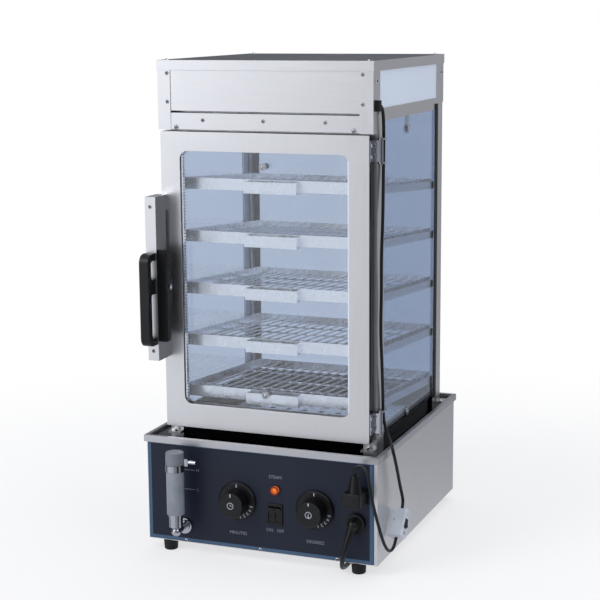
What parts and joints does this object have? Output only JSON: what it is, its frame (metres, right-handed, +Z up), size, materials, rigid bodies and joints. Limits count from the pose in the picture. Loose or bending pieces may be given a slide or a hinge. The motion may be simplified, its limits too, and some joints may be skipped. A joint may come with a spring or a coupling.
{
  "type": "bun steamer cabinet",
  "caption": "Steamer cabinet for buns: water base with dials and gauge, glazed column with sloping wire racks, hinged glass door, lit head and cords",
  "frame": {"origin": "On the floor, under the middle of the cabinet's box measured without its cords", "axes": "+X to the user's right, +Y to the back, +Z up"},
  "size_m": [0.5142, 0.7239, 0.9496],
  "materials": {
    "stainless": "satin",
    "chrome": "polished",
    "navy_panel": "satin",
    "glass": "clear",
    "acrylic": "frosted",
    "black_rubber": "matte",
    "black_plastic": "semi-gloss",
    "grey_plastic": "matte",
    "amber_lens": "glossy",
    "white_plastic": "semi-gloss"
  },
  "bodies": {
    "cabinet": {"feet": "black_rubber", "dome_screws": "chrome", "base_shell": "stainless", "control_panel": "navy_panel", "top_tray": "stainless", "water_tank": "stainless", "heating_element": "stainless", "steam_plate": "stainless", "timer_body": "black_plastic", "thermostat_body": "black_plastic", "indicator_lamp": "amber_lens", "rocker_frame": "black_plastic", "gauge_tube": "glass", "gauge_cap": "grey_plastic", "gauge_clamp": "chrome", "gauge_fitting": "chrome", "lamp_socket": "black_plastic", "cable_gland": "black_plastic", "mains_cord": "black_rubber", "mains_coil": "black_rubber", "mains_plug": "black_plastic", "lamp_cord_upper": "black_rubber", "lamp_cord_lower": "black_rubber", "lamp_plug": "black_plastic", "switch_body": "white_plastic", "corner_posts": "stainless", "frame_rails": "stainless", "glass_panes": "glass", "glass_bolts": "chrome", "glass_seals": "black_rubber", "rack_uprights": "stainless", "rack_runners": "stainless", "door_keeper": "black_plastic", "hinge_post_leaves": "chrome", "head_shell": "stainless", "light_panels": "acrylic", "head_cap": "stainless", "front_fascia": "stainless", "drip_strip": "stainless", "ceiling_panel": "stainless", "head_lamp": "acrylic", "cable_grommet": "black_plastic"},
    "door": {"door_frame": "stainless", "door_back": "stainless", "door_glass": "glass", "door_gasket": "black_rubber", "hinge_door_leaves": "chrome", "handle_channel": "stainless", "handle_grip": "black_plastic", "door_fasteners": "chrome"},
    "lever": {"squeeze_lever": "black_plastic"},
    "timer_dial": {"timer_knob": "black_plastic"},
    "thermostat_dial": {"thermostat_knob": "black_plastic"},
    "rocker_left_body": {"rocker_left": "black_plastic"},
    "rocker_right_body": {"rocker_right": "black_plastic"},
    "inline_rocker": {"switch_rocker": "black_plastic"},
    "rack_1_body": {"rack_1": "stainless", "rack_grid_1": "stainless"},
    "rack_2_body": {"rack_2": "stainless", "rack_grid_2": "stainless"},
    "rack_3_body": {"rack_3": "stainless", "rack_grid_3": "stainless"},
    "rack_4_body": {"rack_4": "stainless", "rack_grid_4": "stainless"},
    "rack_5_body": {"rack_5": "stainless", "rack_grid_5": "stainless"}
  },
  "joints": [
    {"name": "door_hinge", "type": "hinge", "parent": "cabinet", "child": "door", "pos_m": [0.2205, -0.165, 0.5325], "axis": [0, 0, 1], "range_deg": [0, 115]},
    {"name": "lever_pivot", "type": "hinge", "parent": "door", "child": "lever", "pos_m": [-0.211, -0.2174, 0.522], "axis": [-1, 0, 0], "range_deg": [0, 8], "stiffness_Nm_per_rad": 1.5, "springref_deg": -8.59},
    {"name": "timer_turn", "type": "hinge", "parent": "cabinet", "child": "timer_dial", "pos_m": [-0.0445, -0.228, 0.118], "axis": [0, 1, 0], "range_deg": [0, 300]},
    {"name": "thermostat_turn", "type": "hinge", "parent": "cabinet", "child": "thermostat_dial", "pos_m": [0.11352, -0.228, 0.118], "axis": [0, 1, 0], "range_deg": [0, 280]},
    {"name": "rocker_left_tilt", "type": "hinge", "parent": "cabinet", "child": "rocker_left_body", "pos_m": [0.02516, -0.225, 0.0995], "axis": [-1, 0, 0], "range_deg": [0, 16]},
    {"name": "rocker_right_tilt", "type": "hinge", "parent": "cabinet", "child": "rocker_right_body", "pos_m": [0.03886, -0.225, 0.0995], "axis": [-1, 0, 0], "range_deg": [0, 16]},
    {"name": "inline_tilt", "type": "hinge", "parent": "cabinet", "child": "inline_rocker", "pos_m": [0.26236, -0.16057, 0.08633], "axis": [0.2079, 0.7708, -0.6022], "range_deg": [0, 24]},
    {"name": "rack_1_lift", "type": "slide", "parent": "cabinet", "child": "rack_1_body", "axis": [0, 0, 1], "range_m": [0, 0.012]},
    {"name": "rack_2_lift", "type": "slide", "parent": "cabinet", "child": "rack_2_body", "axis": [0, 0, 1], "range_m": [0, 0.012]},
    {"name": "rack_3_lift", "type": "slide", "parent": "cabinet", "child": "rack_3_body", "axis": [0, 0, 1], "range_m": [0, 0.012]},
    {"name": "rack_4_lift", "type": "slide", "parent": "cabinet", "child": "rack_4_body", "axis": [0, 0, 1], "range_m": [0, 0.012]},
    {"name": "rack_5_lift", "type": "slide", "parent": "cabinet", "child": "rack_5_body", "axis": [0, 0, 1], "range_m": [0, 0.012]}
  ]
}
